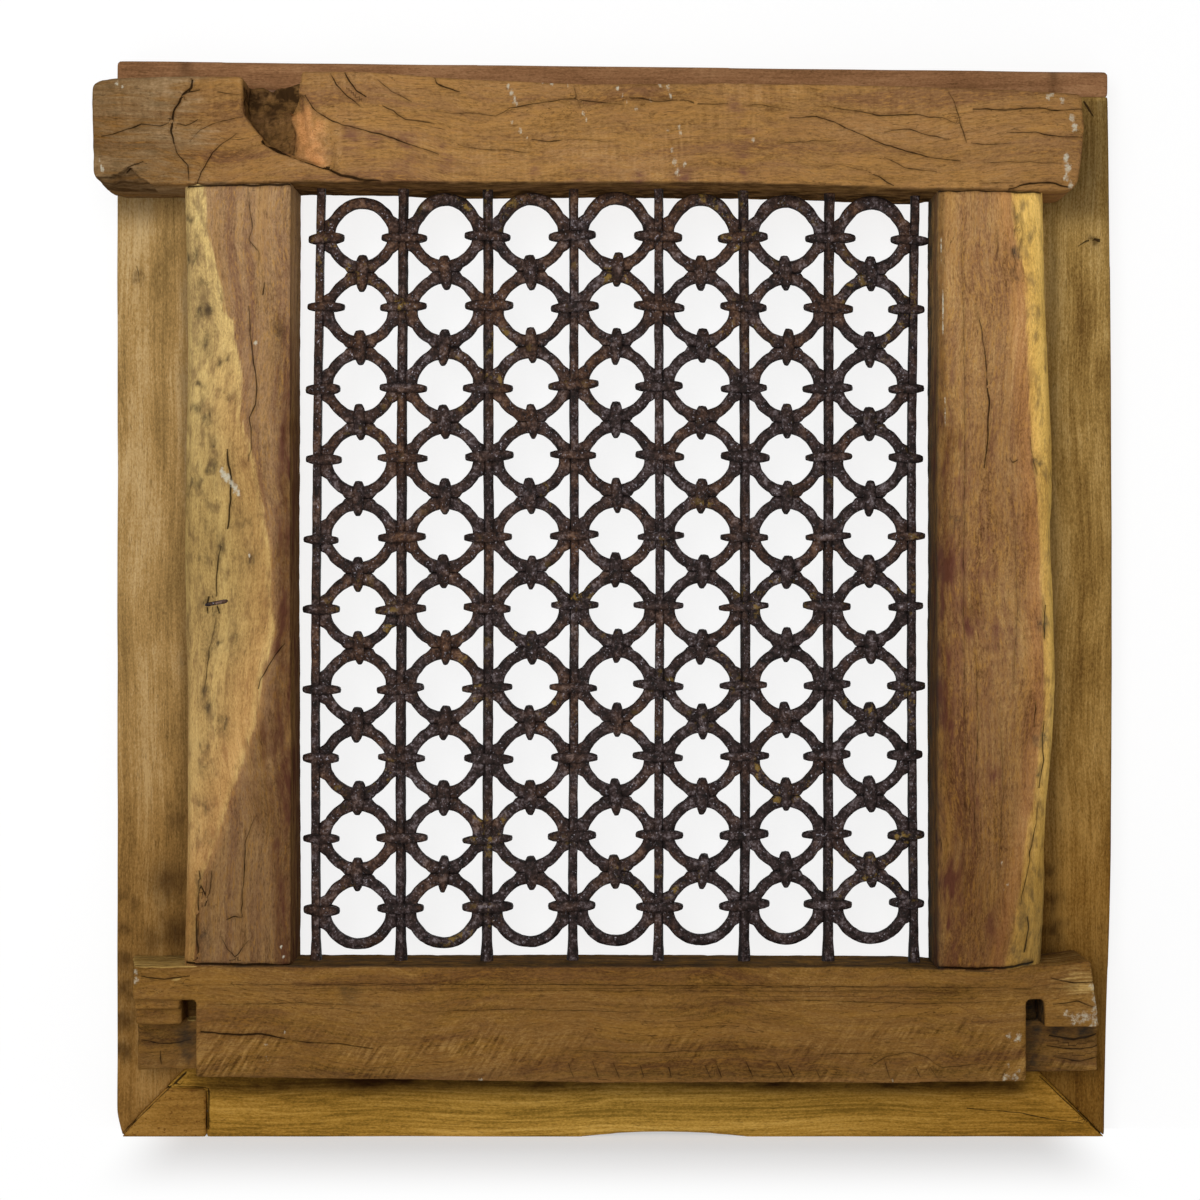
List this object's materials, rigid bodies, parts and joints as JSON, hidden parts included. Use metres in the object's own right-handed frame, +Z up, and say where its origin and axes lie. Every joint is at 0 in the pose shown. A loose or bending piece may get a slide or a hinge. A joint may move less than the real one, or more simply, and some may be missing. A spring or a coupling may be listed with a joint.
{
  "type": "jali window",
  "caption": "Old hewn timber window frame with an iron lattice of rings and bars bound by collars, on a flat board casing, for hanging on a wall.",
  "frame": {"origin": "middle of the bottom edge of the casing's back face, on the wall plane", "axes": "+Z up, +Y into the wall, so the window's face looks along -Y, and +X to the viewer's right"},
  "size_m": [0.9352, 0.102, 0.9995],
  "materials": {
    "old_timber": "worn, waxed",
    "casing_board": "planed, waxed",
    "top_board": "planed, waxed",
    "patch_board": "planed, waxed",
    "forged_iron": "rusted, waxed",
    "fastener_steel": "dull"
  },
  "bodies": {
    "root": {"bar_1": "forged_iron", "bar_2": "forged_iron", "bar_3": "forged_iron", "bar_4": "forged_iron", "bar_5": "forged_iron", "bar_6": "forged_iron", "bar_7": "forged_iron", "bar_8": "forged_iron", "bar_collars_1": "forged_iron", "bar_collars_2": "forged_iron", "bar_collars_3": "forged_iron", "bar_collars_4": "forged_iron", "bar_collars_5": "forged_iron", "bar_collars_6": "forged_iron", "bar_collars_7": "forged_iron", "bar_collars_8": "forged_iron", "casing_bottom": "casing_board", "casing_left": "casing_board", "casing_patch": "patch_board", "casing_right": "casing_board", "casing_screws": "fastener_steel", "casing_top": "top_board", "corner_nails": "fastener_steel", "left_stile": "old_timber", "lintel": "old_timber", "right_stile": "old_timber", "ring_collars_1": "forged_iron", "ring_collars_2": "forged_iron", "ring_collars_3": "forged_iron", "ring_collars_4": "forged_iron", "ring_collars_5": "forged_iron", "ring_collars_6": "forged_iron", "ring_collars_7": "forged_iron", "ring_column_1": "forged_iron", "ring_column_2": "forged_iron", "ring_column_3": "forged_iron", "ring_column_4": "forged_iron", "ring_column_5": "forged_iron", "ring_column_6": "forged_iron", "ring_column_7": "forged_iron", "sill": "old_timber", "tenon_pegs": "old_timber", "top_board_nails": "fastener_steel"}
  },
  "joints": []
}
